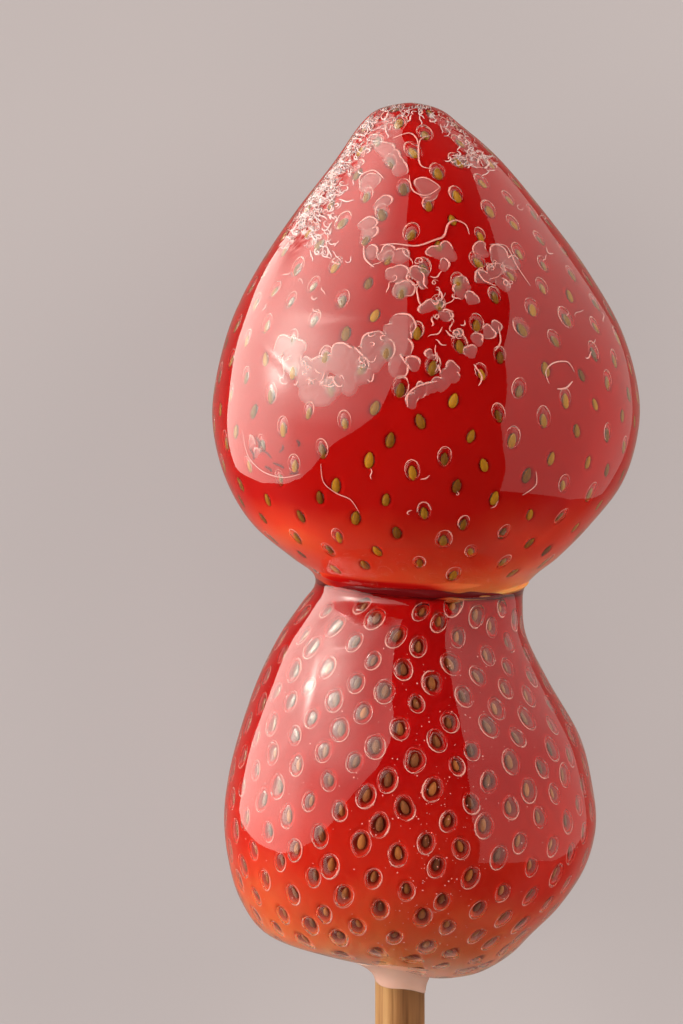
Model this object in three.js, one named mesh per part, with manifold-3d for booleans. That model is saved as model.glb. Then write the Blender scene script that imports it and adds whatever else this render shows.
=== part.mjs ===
// Candied strawberry skewer: two hulled strawberries, tips the same way, pushed one after the other
// onto a round pointed wooden stick and dipped together in clear sugar that has set hard.
// It lies down: +Y runs from the stick's free end to the upper berry's tip, +Z is the side shown,
// and both berries rest on small flat spots at z = 0. The outlines are those of the sugar shell.
import * as THREE from "three";
import { ConvexHull } from "three/addons/math/ConvexHull.js";
import { mergeVertices } from "three/addons/utils/BufferGeometryUtils.js";
import Module from "manifold-3d";

const wasm = await Module();
wasm.setup();

// Driving dimensions, in millimetres.
const OVERALL_LENGTH = 155; // from the stick's free end to the upper berry's tip
const STICK_DIAMETER = 4.5;
const STICK_LENGTH = 140;
const STICK_POINT_LENGTH = 10;
const STICK_POINT_RADIUS = 0.4;
const STICK_EDGE_ROUND = 0.4; // at the free end
const STICK_HEIGHT = 17; // of its axis over the surface that the berries rest on
const STICK_SIDES = 24;
const CLEARANCE = 0.3; // between a piece and the next

// One berry: its rings, each with its distance below the upper berry's tip and the places of its left
// and right edges from the stick's axis; its depth against its width; how far its middle lies in front
// of the stick; how much further down the front of a ring lies for each millimetre towards the viewer;
// the distance between seeds at its tip and at its base; and the pit that each seed sits in.
const UPPER = {
  rings: [
    { down: 0, left: 0.9, right: 0.9 },
    { down: 0.55, left: -1.8, right: 3.5 },
    { down: 2.0, left: -3.6, right: 5.5 },
    { down: 5.2, left: -5.9, right: 9.1 },
    { down: 10.2, left: -9.7, right: 13.3 },
    { down: 15.2, left: -13.0, right: 17.0 },
    { down: 20.6, left: -15.6, right: 20.1 },
    { down: 26.1, left: -16.9, right: 21.6 },
    { down: 30.2, left: -16.9, right: 21.5 },
    { down: 34.3, left: -15.7, right: 20.1 },
    { down: 37.9, left: -13.5, right: 17.4 },
    { down: 40.8, left: -10.2, right: 14.6 },
    { down: 42.8, left: -7.9, right: 12.5 },
    { down: 44.3, left: -4.9, right: 11.0 },
    { down: 44.9, left: 3.6, right: 3.6 },
  ],
  depthRatio: 0.93,
  forward: 0.35,
  lean: 0.17,
  seedSpacing: { tip: 2.9, base: 4.0 },
  pit: { width: 1.3, length: 1.7, depth: 0.22 },
};
const LOWER = {
  rings: [
    { down: 42.3, left: 1.8, right: 1.8 },
    { down: 42.7, left: -3.2, right: 7.1 },
    { down: 43.6, left: -6.5, right: 10.2 },
    { down: 45.2, left: -8.7, right: 11.1 },
    { down: 48.4, left: -11.0, right: 11.5 },
    { down: 52.5, left: -13.0, right: 13.5 },
    { down: 57.5, left: -14.7, right: 16.3 },
    { down: 62.0, left: -15.7, right: 17.5 },
    { down: 65.6, left: -16.0, right: 17.8 },
    { down: 69.3, left: -15.5, right: 16.8 },
    { down: 72.5, left: -14.4, right: 14.7 },
    { down: 75.2, left: -12.3, right: 12.0 },
    { down: 76.8, left: -8.0, right: 10.5 },
    { down: 78.1, left: -2.5, right: 8.8 },
    { down: 79.0, left: 0.6, right: 6.9 },
    { down: 79.5, left: 3.6, right: 3.6 },
  ],
  depthRatio: 1.024,
  forward: -0.35,
  lean: 0.05,
  seedSpacing: { tip: 2.7, base: 3.6 },
  pit: { width: 1.5, length: 1.9, depth: 0.35 },
};
const SEED_JITTER = 0.12; // as a share of the distance between seeds
const SEED_TURN = 0.35; // radians, either way from the berry's length
const SEED_SIZE_SPREAD = 0.15;
const SEEDLESS_DOWN = { upper: 43.2, lower: 44.8 }; // where the berries press on each other
const SEEDLESS_RADIUS = 4.2; // round the stick at the lower berry's base
const SEEDLESS_HEIGHT = 0.7; // over the surface that the berries rest on

// Fineness of the surfaces.
const PIT_SIDES = 6;
const BANDS = 200; // from a berry's tip to its base, for adding up its area
const SECTORS = 24;
const CUTTER_VERTICES = 900;
const GOLDEN_ANGLE = Math.PI * (3 - Math.sqrt(5));

// The group's origin is the middle of the object's footprint.
const LEFT_EDGE = Math.min(...UPPER.rings.map((ring) => ring.left));
const RIGHT_EDGE = Math.max(...UPPER.rings.map((ring) => ring.right));
const STICK_X = -(LEFT_EDGE + RIGHT_EDGE) / 2;
const TIP_Y = OVERALL_LENGTH / 2;

// A repeatable number from 0 to 1 for each whole number and channel.
function scatter(index, channel) {
  const wave = Math.sin(index * 12.9898 + channel * 78.233) * 43758.5453;
  return wave - Math.floor(wave);
}

// A smooth curve through evenly numbered values; at both ends, where the rings close on the berry's
// axis, the curve goes on as its own mirror image, with the sign given, so that the end is round.
function through(values, place, mirrorSign) {
  const last = values.length - 1;
  const at = (i) => {
    if (i < 0) return mirrorSign * values[-i];
    if (i > last) return mirrorSign * values[2 * last - i];
    return values[i];
  };
  const i = Math.min(Math.floor(place), last - 1);
  const f = place - i;
  const [a, b, c, d] = [at(i - 1), at(i), at(i + 1), at(i + 2)];
  const slope = (c - a) / 2;
  const bend = a - 2.5 * b + 2 * c - 0.5 * d;
  const twist = (d - a) / 2 + 1.5 * (b - c);
  return b + f * (slope + f * (bend + f * twist));
}

// A point of a berry's smooth surface: share runs from 0 at the tip to 1 at the base, angle from the
// right side round by the front.
function surfacePoint(berry, share, angle) {
  const place = share * (berry.rings.length - 1);
  const middles = berry.rings.map((ring) => (ring.left + ring.right) / 2);
  const halves = berry.rings.map((ring) => (ring.right - ring.left) / 2);
  const downs = berry.rings.map((ring) => ring.down);
  const half = through(halves, place, -1);
  const front = half * berry.depthRatio * Math.sin(angle);
  return new THREE.Vector3(
    STICK_X + through(middles, place, 1) + half * Math.cos(angle),
    TIP_Y - through(downs, place, 1) - berry.lean * front,
    STICK_HEIGHT + berry.forward + front,
  );
}

// The directions along a berry's surface at a point, towards its base and round it, each the length
// that the surface runs for a whole share or a radian, and the outward normal.
function surfaceFrame(berry, share, angle) {
  const step = 1e-4;
  const from = Math.max(share - step, 0);
  const to = Math.min(share + step, 1);
  const along = surfacePoint(berry, to, angle)
    .sub(surfacePoint(berry, from, angle))
    .divideScalar(to - from);
  const around = surfacePoint(berry, share, angle + step)
    .sub(surfacePoint(berry, share, angle - step))
    .divideScalar(2 * step);
  const normal = new THREE.Vector3().crossVectors(around, along).normalize();
  return { along, around, normal };
}

function seedSpacing(berry, share) {
  return THREE.MathUtils.lerp(berry.seedSpacing.tip, berry.seedSpacing.base, share);
}

// How many seeds lie between a berry's tip and the end of each of its bands, when they are as far
// apart as the spacing asks at each height.
function seedCounts(berry) {
  const counts = [0];
  for (let band = 0; band < BANDS; band++) {
    const share = (band + 0.5) / BANDS;
    let area = 0;
    for (let sector = 0; sector < SECTORS; sector++) {
      const { along, around } = surfaceFrame(berry, share, (2 * Math.PI * sector) / SECTORS);
      area += (along.cross(around).length() * 2 * Math.PI) / (BANDS * SECTORS);
    }
    counts.push(counts[band] + area / (seedSpacing(berry, share) ** 2 * Math.sqrt(0.75)));
  }
  return counts;
}

// The share of a berry's length by which a count is reached, and the count at a share.
function shareAt(counts, count) {
  const band = counts.findIndex((reached) => reached > count) - 1;
  return (band + (count - counts[band]) / (counts[band + 1] - counts[band])) / BANDS;
}

function countAt(counts, share) {
  const band = Math.min(Math.floor(share * BANDS), BANDS - 1);
  return THREE.MathUtils.lerp(counts[band], counts[band + 1], share * BANDS - band);
}

// A berry's seeds in a spiral from tip to base, each a little off its place.
function seedsOf(berry, counts) {
  const seeds = [];
  for (let index = 0; index + 0.5 < counts[BANDS]; index++) {
    const share = shareAt(counts, index + 0.5);
    const angle = index * GOLDEN_ANGLE;
    const { along, around } = surfaceFrame(berry, share, angle);
    const shift = 2 * SEED_JITTER * seedSpacing(berry, share);
    seeds.push({
      share: share + (shift * (scatter(index, 1) - 0.5)) / along.length(),
      angle: angle + (shift * (scatter(index, 2) - 0.5)) / around.length(),
      turn: 2 * SEED_TURN * (scatter(index, 3) - 0.5),
      size: 1 + 2 * SEED_SIZE_SPREAD * (scatter(index, 4) - 0.5),
    });
  }
  return seeds;
}

// A vertex of a berry's skin, raised along the normal, with its place on a round ball on which the
// seeds lie evenly.
function skinVertex(berry, counts, share, angle, raised) {
  const kept = THREE.MathUtils.clamp(share, 0, 1);
  const height = 1 - (2 * countAt(counts, kept)) / counts[BANDS];
  const radius = Math.sqrt(1 - height * height);
  const point = surfacePoint(berry, kept, angle);
  if (raised) point.addScaledVector(surfaceFrame(berry, kept, angle).normal, raised);
  return { point, onBall: new THREE.Vector3(radius * Math.cos(angle), height, radius * Math.sin(angle)) };
}

// The skin of a berry: a pit of a floor and a rim at each seed, and a single vertex where it is bare.
function pittedSkin(berry, isBare) {
  const counts = seedCounts(berry);
  const vertices = [];
  for (const { share, angle, turn, size } of seedsOf(berry, counts)) {
    if (isBare(surfacePoint(berry, share, angle))) {
      vertices.push(skinVertex(berry, counts, share, angle, 0));
      continue;
    }
    vertices.push(skinVertex(berry, counts, share, angle, -berry.pit.depth * size));
    const { along, around } = surfaceFrame(berry, share, angle);
    for (let side = 0; side < PIT_SIDES; side++) {
      const corner = (2 * Math.PI * side) / PIT_SIDES;
      const lengthwise = 0.5 * berry.pit.length * size * Math.cos(corner);
      const across = 0.5 * berry.pit.width * size * Math.sin(corner);
      const down = lengthwise * Math.cos(turn) - across * Math.sin(turn);
      const aside = lengthwise * Math.sin(turn) + across * Math.cos(turn);
      const rimShare = share + down / along.length();
      const rimAngle = angle + aside / around.length();
      vertices.push(skinVertex(berry, counts, rimShare, rimAngle, 0));
    }
  }
  return closedSkin(vertices);
}

// A berry's smooth shape, grown by the clearance, as a cutter for its neighbour's seat.
function grownSkin(berry) {
  const counts = seedCounts(berry);
  const vertices = [];
  for (let index = 0; index < CUTTER_VERTICES; index++) {
    const share = shareAt(counts, ((index + 0.5) * counts[BANDS]) / CUTTER_VERTICES);
    vertices.push(skinVertex(berry, counts, share, index * GOLDEN_ANGLE, CLEARANCE));
  }
  return closedSkin(vertices);
}

// A closed surface over skin vertices: the hull of their places on the ball says which three of
// them make a face.
function closedSkin(vertices) {
  vertices.forEach(({ onBall }, index) => {
    onBall.index = index;
  });
  const hull = new ConvexHull().setFromPoints(vertices.map(({ onBall }) => onBall));
  const indices = hull.faces.flatMap(({ edge }) =>
    [edge.tail(), edge.head(), edge.next.head()].map((end) => end.point.index),
  );
  return new THREE.BufferGeometry().setFromPoints(vertices.map(({ point }) => point)).setIndex(indices);
}

// The stick, or with some growth the bore round it, with its free end at the group's lower edge.
function stickShape(growth) {
  const radius = STICK_DIAMETER / 2 + growth;
  const profile = [
    [0, -growth],
    [radius - STICK_EDGE_ROUND, -growth],
    [radius, STICK_EDGE_ROUND - growth],
    [radius, STICK_LENGTH - STICK_POINT_LENGTH],
    [STICK_POINT_RADIUS + growth, STICK_LENGTH + growth],
    [0, STICK_LENGTH + growth],
  ].map(([x, y]) => new THREE.Vector2(x, y));
  return new THREE.LatheGeometry(profile, STICK_SIDES).translate(STICK_X, -TIP_Y, STICK_HEIGHT);
}

// Everything below the surface that the berries rest on.
function groundShape() {
  const size = 2 * OVERALL_LENGTH;
  return new THREE.BoxGeometry(size, size, size).translate(0, 0, -size / 2);
}

// A geometry as a solid that can be joined and cut.
function solidOf(geometry) {
  const bare = geometry.clone();
  bare.deleteAttribute("normal");
  bare.deleteAttribute("uv");
  const merged = mergeVertices(bare, 1e-3);
  return new wasm.Manifold(
    new wasm.Mesh({
      numProp: 3,
      vertProperties: merged.attributes.position.array,
      triVerts: new Uint32Array(merged.index.array),
    }),
  );
}

// A solid's mesh as a geometry with flat faces.
function geometryOf(solid) {
  const mesh = solid.getMesh();
  const geometry = new THREE.BufferGeometry();
  geometry.setAttribute("position", new THREE.BufferAttribute(mesh.vertProperties, 3));
  geometry.setIndex(new THREE.BufferAttribute(mesh.triVerts, 1));
  return geometry.toNonIndexed();
}

function candyMaterial(color) {
  return new THREE.MeshStandardMaterial({ color, roughness: 0.08, metalness: 0 });
}

function woodMaterial() {
  return new THREE.MeshStandardMaterial({ color: 0xcf9d68, roughness: 0.6, metalness: 0 });
}

function namedMesh(name, geometry, material) {
  geometry.computeVertexNormals();
  const mesh = new THREE.Mesh(geometry, material);
  mesh.name = name;
  return mesh;
}

// The upper berry has no seeds on its foot and where it sits on the lower one, whose blunt tip fills
// the hollow in its base.
function upperStrawberry() {
  const isBare = (point) => point.z < SEEDLESS_HEIGHT || TIP_Y - point.y > SEEDLESS_DOWN.upper;
  const solid = solidOf(pittedSkin(UPPER, isBare))
    .subtract(solidOf(grownSkin(LOWER)))
    .subtract(solidOf(stickShape(CLEARANCE)))
    .subtract(solidOf(groundShape()));
  return namedMesh("upper_strawberry", geometryOf(solid), candyMaterial(0xc4161c));
}

// The lower berry has no seeds on its foot, on its tip under the upper one and round the stick.
function lowerStrawberry() {
  const isBare = (point) =>
    point.z < SEEDLESS_HEIGHT ||
    TIP_Y - point.y < SEEDLESS_DOWN.lower ||
    Math.hypot(point.x - STICK_X, point.z - STICK_HEIGHT) < SEEDLESS_RADIUS;
  const solid = solidOf(pittedSkin(LOWER, isBare))
    .subtract(solidOf(stickShape(CLEARANCE)))
    .subtract(solidOf(groundShape()));
  return namedMesh("lower_strawberry", geometryOf(solid), candyMaterial(0xd0201c));
}

function stick() {
  return namedMesh("stick", stickShape(0), woodMaterial());
}

const skewer = new THREE.Group();
skewer.name = "candied_strawberry_skewer";
skewer.add(upperStrawberry(), lowerStrawberry(), stick());

export default skewer;
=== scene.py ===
import bpy
import numpy as np
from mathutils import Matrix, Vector


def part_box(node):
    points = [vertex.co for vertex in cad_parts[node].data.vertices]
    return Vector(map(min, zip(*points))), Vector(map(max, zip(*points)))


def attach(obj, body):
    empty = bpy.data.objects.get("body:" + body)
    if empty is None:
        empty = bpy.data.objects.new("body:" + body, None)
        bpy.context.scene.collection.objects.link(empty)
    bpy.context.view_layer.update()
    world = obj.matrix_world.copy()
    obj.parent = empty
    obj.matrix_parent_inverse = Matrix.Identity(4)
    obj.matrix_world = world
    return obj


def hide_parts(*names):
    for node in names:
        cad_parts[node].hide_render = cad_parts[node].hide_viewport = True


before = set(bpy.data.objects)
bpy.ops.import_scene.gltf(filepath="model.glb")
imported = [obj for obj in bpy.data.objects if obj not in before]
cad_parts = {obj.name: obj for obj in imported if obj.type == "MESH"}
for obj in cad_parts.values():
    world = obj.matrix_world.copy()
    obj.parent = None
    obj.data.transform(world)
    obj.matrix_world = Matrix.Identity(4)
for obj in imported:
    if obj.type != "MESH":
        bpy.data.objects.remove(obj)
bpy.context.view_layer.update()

# ----------------------------------------------------------
# Stick. A round birch stick, 4.5 mm thick, turned from one straight piece with a point at the end
# that goes into the berries and a square cut at the other. Bare wood, with fine grain along it.
MM = 0.001
STICK_RADIUS = 2.25 * MM
STICK_LENGTH = 140 * MM
STICK_POINT = 10 * MM
STICK_EDGE = 0.35 * MM
STICK_SIDES = 48

stick_low, stick_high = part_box("stick")
STICK_X = (stick_low.x + stick_high.x) / 2
STICK_Z = (stick_low.z + stick_high.z) / 2
STICK_END = stick_low.y


def mesh_object(name, vertices, faces, smooth=True):
    """A new piece in the scene from its vertices and faces."""
    mesh = bpy.data.meshes.new(name)
    mesh.from_pydata(np.reshape(vertices, (-1, 3)).tolist(), [], faces)
    mesh.polygons.foreach_set("use_smooth", np.full(len(mesh.polygons), smooth))
    mesh.update()
    piece = bpy.data.objects.new(name, mesh)
    bpy.context.scene.collection.objects.link(piece)
    return piece


def grid_cells(rows, columns, open_rows=True, open_columns=False, flip=False):
    """Four-sided faces of a grid of points, row by row. The last row or column is joined to the
    first one unless it is open; flip turns the faces over."""
    row = np.arange(rows - open_rows)[:, None]
    column = np.arange(columns - open_columns)
    next_row, next_column = (row + 1) % rows, (column + 1) % columns
    corners = [row * columns + column, row * columns + next_column,
               next_row * columns + next_column, next_row * columns + column]
    if flip:
        corners = [corners[0], *corners[:0:-1]]
    return np.stack(corners, axis=-1).reshape(-1, 4).tolist()


def grid_object(name, points, poles):
    """A closed surface from a grid of points that closes on itself round the columns: each cell
    is one face, and a fan of triangles joins each end row to its pole."""
    rows, columns = points.shape[:2]
    first, last = rows * columns, rows * columns + 1
    near = np.arange(columns)
    far = (near + 1) % columns
    caps = [[first, b, a] for a, b in zip(near, far)]
    caps += [[last, (rows - 1) * columns + a, (rows - 1) * columns + b] for a, b in zip(near, far)]
    vertices = np.concatenate([points.reshape(-1, 3), poles])
    return mesh_object(name, vertices, grid_cells(rows, columns) + caps)


def turned_stick():
    """A profile of radius against length, turned round the stick's axis; the radius wavers by a
    few hundredths of a millimetre, as a real dowel's does."""
    shaft = STICK_LENGTH - STICK_POINT
    along = np.concatenate([
        STICK_EDGE * (1 - np.cos(np.linspace(0, np.pi / 2, 5))),
        np.linspace(STICK_EDGE, shaft, 90)[1:],
        np.linspace(shaft, STICK_LENGTH, 8)[1:],
    ])
    rounding = np.maximum(STICK_EDGE - along, 0)
    edge = STICK_EDGE - np.sqrt(np.maximum(STICK_EDGE**2 - rounding**2, 0))
    taper = np.clip((STICK_LENGTH - along) / STICK_POINT, 0.12, 1)
    radius = (STICK_RADIUS - edge) * taper
    angle = np.linspace(0, 2 * np.pi, STICK_SIDES, endpoint=False)
    waver = 1 + 0.006 * np.sin(3 * angle + 1) * np.sin(along[:, None] / (7 * MM))
    ring = radius[:, None] * waver
    points = np.stack([
        STICK_X + ring * np.cos(angle),
        STICK_END + along[:, None] + 0 * angle,
        STICK_Z + ring * np.sin(angle),
    ], axis=-1)[::-1]
    ends = [[STICK_X, STICK_END + STICK_LENGTH, STICK_Z], [STICK_X, STICK_END, STICK_Z]]
    return grid_object("wooden_stick", points, ends)


def fill(node, inputs):
    """Sets inputs of a node by name or number, each to a constant or to an output it reads."""
    for key, value in dict(inputs).items():
        if isinstance(value, bpy.types.NodeSocket):
            node.id_data.links.new(value, node.inputs[key])
        else:
            node.inputs[key].default_value = value


def add_node(tree, kind, inputs=(), **settings):
    """The outputs of a new node with these settings and inputs."""
    node = tree.nodes.new("ShaderNode" + kind)
    for key, value in settings.items():
        setattr(node, key, value)
    fill(node, inputs)
    return node.outputs


def empty_tree(owner):
    """The node tree of a new material or world, with nothing in it."""
    owner.use_nodes = True
    owner.node_tree.nodes.clear()
    return owner.node_tree


def new_material(name, inputs=()):
    """A material with one Principled shader, its node tree and the shader."""
    material = bpy.data.materials.new(name)
    tree = empty_tree(material)
    shader = tree.nodes.new("ShaderNodeBsdfPrincipled")
    fill(shader, inputs)
    add_node(tree, "OutputMaterial", {0: shader.outputs[0]})
    return material, tree, shader


def colour_ramp(tree, value, stops):
    """The colour that a value from 0 to 1 has between (position, (r, g, b)) stops."""
    node = tree.nodes.new("ShaderNodeValToRGB")
    ramp = node.color_ramp
    while len(ramp.elements) < len(stops):
        ramp.elements.new(0.5)
    for element, (position, colour) in zip(ramp.elements, stops):
        element.position = position
        element.color = (*colour, 1)
    fill(node, {"Fac": value})
    return node.outputs["Color"]


def noise(tree, place, scale, detail=2, **settings):
    """Values of a noise texture, from 0 to 1."""
    inputs = {"Vector": place, "Scale": scale, "Detail": detail}
    return add_node(tree, "TexNoise", inputs, **settings)["Fac"]


def arithmetic(tree, operation, *values):
    """The result of one operation on outputs and constants."""
    return add_node(tree, "Math", enumerate(values), operation=operation)[0]


def roughen(shader, height, strength, distance):
    """Gives a shader a fine relief that rises by a distance."""
    inputs = {"Height": height, "Strength": strength, "Distance": distance}
    fill(shader, {"Normal": add_node(shader.id_data, "Bump", inputs)[0]})


def birch_wood():
    """Two noises stretched along the stick, broad bands of tone and fine dark pores, over wood
    that is darker down its right side: painted shade, as the light falls from the left."""
    material, tree, shader = new_material("birch_wood", {"Roughness": 0.55})
    place = add_node(tree, "TexCoord")["Object"]
    grain = add_node(tree, "Mapping", {"Vector": place, "Scale": (1, 0.035, 1)})[0]
    bands, pores = noise(tree, grain, 900, 3), noise(tree, grain, 4200)
    # painted shade: the wood's colour darkens towards the stick's right side, away from the light
    painted_right_shade = add_node(tree, "MapRange", {
        "Value": add_node(tree, "SeparateXYZ", {0: place})["X"],
        "From Min": STICK_X - 1.3 * MM, "From Max": STICK_X + 0.5 * MM, "To Min": 0.0, "To Max": -0.36,
    })[0]
    tone = colour_ramp(tree, arithmetic(tree, "ADD", bands, painted_right_shade), [
        (0.05, (0.13, 0.050, 0.014)), (0.30, (0.24, 0.105, 0.034)),
        (0.55, (0.40, 0.215, 0.082)), (0.75, (0.47, 0.28, 0.125))])
    pore_tone = colour_ramp(tree, pores, [(0.30, (0.60, 0.50, 0.42)), (0.5, (1, 1, 1))])
    wood = add_node(tree, "Mix", {"Factor": 0.7, "A": tone, "B": pore_tone},
                    data_type="RGBA", blend_type="MULTIPLY")
    fill(shader, {"Base Color": wood["Result"]})
    roughen(shader, pores, 0.35, 0.1 * MM)
    return material


stick = turned_stick()
stick.data.materials.append(birch_wood())
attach(stick, "root")
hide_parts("stick")

# ----------------------------------------------------------
# Strawberries. Two hulled fruits pushed onto the stick, tips the same way. Each ring below is the
# berry's width at one height under the skewer's tip, over its sugar; the flesh lies a shell's
# thickness further in, red at the tip and paler at the shoulders, with a pit for every seed.
SUGAR = 0.45 * MM
SKEWER_LENGTH = 155 * MM
TIP_Y = STICK_END + SKEWER_LENGTH
GOLDEN_ANGLE = np.pi * (3 - np.sqrt(5))
END_SHARES = (0.004, 0.996)  # seeds and pockets stay between these shares
SEED_CLEARANCE = 0.7 * MM  # of seeds over the surface that the skewer lies on


def upper_paleness_and_painted_light(share, angle):
    """The upper berry pales at its base, most to the right of the side shown; the paler patch low on
    its left flank is a painted sheen. Under that it is darker in the groove: partly a juice stain,
    partly painted shade."""
    # painted sheen: a paler patch low on the left flank
    left_flank_sheen = 0.15 * np.exp(-(((angle - 2.5) / 0.5) ** 2 + ((share - 0.71) / 0.07) ** 2))
    pale = np.maximum(share + 0.10 * np.cos(angle - 0.6) * share - 0.03, 0.12) + left_flank_sheen
    # painted shade in the groove, with a juice stain: the flesh goes dark low on the base's front left
    juice_stain_and_shade = np.clip((share - 0.825) / 0.03, 0, 1) * np.exp(-(((angle - 2.05) / 0.5) ** 4))
    return pale * (1 - juice_stain_and_shade)


def lower_paleness_and_painted_light(share, angle):
    """The lower berry pales at its shoulders, most on the left: the extra paleness there is painted
    light, on the side the light comes from.
    """
    # painted light: the left side pales more than the right
    return share - 0.06 * np.cos(angle - 0.5) * share


# rings: height under the tip, left and right edge. depth: of the front against half the width.
# forward: towards the side shown. lean: how much lower the front is. spacing: between seeds, at
# the tip and at the base. pit and seed: half their width and length, and depth or height. air:
# how far a pocket reaches from its seed towards the tip, and its height. All but the depth and
# the lean are in metres.
UPPER = {
    "ripeness_and_painted_light": upper_paleness_and_painted_light,
    "rings": np.array([
        (0, 0.9, 0.9), (0.55, -1.8, 3.5), (2.0, -3.6, 5.5), (5.2, -5.9, 9.1), (10.2, -9.7, 13.3),
        (15.2, -13.0, 17.0), (20.6, -15.6, 20.1), (26.1, -16.9, 21.6), (30.2, -16.9, 21.5),
        (34.3, -15.7, 20.1), (37.9, -13.5, 17.4), (40.8, -10.2, 14.6), (42.8, -7.9, 12.5),
        (44.3, -4.9, 11.0), (44.9, 3.6, 3.6),
    ]) * MM,
    "depth": 0.93, "forward": 0.35 * MM, "lean": 0.17,
    "spacing": (2.9 * MM, 4.0 * MM),
    "pit": (0.52 * MM, 0.72 * MM, 0.16 * MM),
    "seed": (0.42 * MM, 0.66 * MM, 0.26 * MM),
    "air": (0.30 * MM, 0.10 * MM),
}
LOWER = {
    "ripeness_and_painted_light": lower_paleness_and_painted_light,
    "rings": np.array([
        (42.3, 1.8, 1.8), (42.7, -3.2, 7.1), (43.6, -6.5, 10.2), (45.2, -8.7, 11.1), (48.4, -11.0, 11.5),
        (52.5, -13.0, 13.5), (57.5, -14.7, 16.3), (62.0, -15.7, 17.5), (65.6, -16.0, 17.8),
        (69.3, -15.5, 16.8), (72.5, -14.4, 14.7), (75.2, -12.3, 12.0), (76.8, -8.0, 10.5),
        (78.1, -2.5, 8.8), (79.0, 0.6, 6.9), (79.5, 3.6, 3.6),
    ]) * MM,
    "depth": 1.024, "forward": -0.35 * MM, "lean": 0.05,
    "spacing": (2.7 * MM, 3.6 * MM),
    "pit": (0.74 * MM, 0.94 * MM, 0.42 * MM),
    "seed": (0.40 * MM, 0.62 * MM, 0.28 * MM),
    "air": (-0.12 * MM, 0.14 * MM),
}


def scatter(index, channel):
    """Repeatable numbers from 0 to 1: the fractional part of a steep sine of the index."""
    wave = np.sin(index * 12.9898 + channel * 78.233) * 43758.5453
    return wave - np.floor(wave)


def through(values, place, mirror_sign):
    """A Catmull-Rom curve through evenly numbered values, carried on past both ends as its own
    mirror image so that the berry is round where its rings close on its axis."""
    values = np.concatenate([[mirror_sign * values[1]], values, [mirror_sign * values[-2]]])
    i = np.clip(np.floor(place).astype(int), 0, len(values) - 4)
    f = place - i
    a, b, c, d = (values[i + k] for k in range(4))
    bend = a - 2.5 * b + 2 * c - 0.5 * d + f * ((d - a) / 2 + 1.5 * (b - c))
    return b + f * ((c - a) / 2 + f * bend)


def length(vectors):
    """How long each vector is."""
    return np.linalg.norm(vectors, axis=-1)


def unit(vectors):
    """The vectors shortened or stretched to a length of one."""
    return vectors / np.maximum(length(vectors)[..., None], 1e-12)


def circle(count):
    """Angles at equal steps all round."""
    return 2 * np.pi * np.arange(count) / count


def girth(form, place):
    """Half the width of a form at numbered rings, and how far right its middle lies."""
    left, right = form["rings"][:, 1], form["rings"][:, 2]
    return through((right - left) / 2, place, -1), through((right + left) / 2, place, 1)


def value_at(form, key, place):
    """One of a form's values at numbered rings."""
    return through(np.broadcast_to(form[key], len(form["rings"])), place, 1)


def surface(form, share, angle, raised=0.0):
    """Points of a smooth berry: at each share of the way from tip to base an ellipse between the
    left and right edges, angle running from the right side round by the front, its front lower by
    the lean; raised moves them out along the normal."""
    share, angle = np.broadcast_arrays(share, angle)
    place = share * (len(form["rings"]) - 1)
    half, middle = girth(form, place)
    front = half * value_at(form, "depth", place) * np.sin(angle)
    points = np.stack([
        STICK_X + middle + half * np.cos(angle),
        TIP_Y - through(form["rings"][:, 0], place, 1) - value_at(form, "lean", place) * front,
        STICK_Z + value_at(form, "forward", place) + front,
    ], axis=-1)
    if np.any(raised):
        points = points + directions(form, share, angle)[2] * np.asarray(raised)[..., None]
    return points


def directions(form, share, angle):
    """Vectors along the surface towards the base and round it, as long as the surface runs for a
    whole share or a radian, and the outward normal, from small steps either way."""
    step = 1e-4
    low, high = np.clip(share - step, 0, 1), np.clip(share + step, 0, 1)
    along = (surface(form, high, angle) - surface(form, low, angle)) / (high - low)[..., None]
    round_ = (surface(form, share, angle + step) - surface(form, share, angle - step)) / (2 * step)
    return along, round_, unit(np.cross(round_, along))


def seeds_of(form, keep):
    """A golden-angle spiral from tip to base, spaced by adding up the berry's area in bands and
    dividing by the room each seed takes, each seed a little off its place, turn and size."""
    bands, sectors = 200, 24
    spacing, growth = form["spacing"][0], form["spacing"][1] - form["spacing"][0]
    share = (np.arange(bands) + 0.5) / bands
    angle = circle(sectors)
    along, round_, _ = directions(form, *np.broadcast_arrays(share[:, None], angle))
    area = length(np.cross(along, round_)).sum(1) * 2 * np.pi / (bands * sectors)
    room = (spacing + growth * share) ** 2 * np.sqrt(0.75)
    counts = np.concatenate([[0], np.cumsum(area / room)])
    index = np.arange(int(counts[-1] + 0.5))
    share = np.interp(index + 0.5, counts, np.linspace(0, 1, bands + 1))
    angle = index * GOLDEN_ANGLE
    along, round_, _ = directions(form, share, angle)
    shift = 0.24 * (spacing + growth * share)
    share = share + shift * (scatter(index, 1) - 0.5) / length(along)
    angle = angle + shift * (scatter(index, 2) - 0.5) / length(round_)
    share = np.clip(share, *END_SHARES)
    kept = keep(surface(form, share, angle))
    return {
        "share": share[kept], "angle": angle[kept] % (2 * np.pi),
        "turn": 0.7 * (scatter(index, 3)[kept] - 0.5), "size": 0.85 + 0.3 * scatter(index, 4)[kept],
        "tone": scatter(index, 5)[kept],
    }


def seed_frame(form, seeds, raised):
    """Each seed's place on the flesh and its three unit directions: lengthwise, across and out."""
    along, round_, out = directions(form, seeds["share"], seeds["angle"])
    along, round_ = unit(along), unit(round_)
    cos, sin = np.cos(seeds["turn"])[:, None], np.sin(seeds["turn"])[:, None]
    place = surface(form, seeds["share"], seeds["angle"], raised)
    return place, along * cos + round_ * sin, along * sin - round_ * cos, out


def walked(points):
    """How far each point of a path lies from its start, along the path."""
    return np.concatenate([[0], np.cumsum(length(np.diff(points, axis=0)))])


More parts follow.
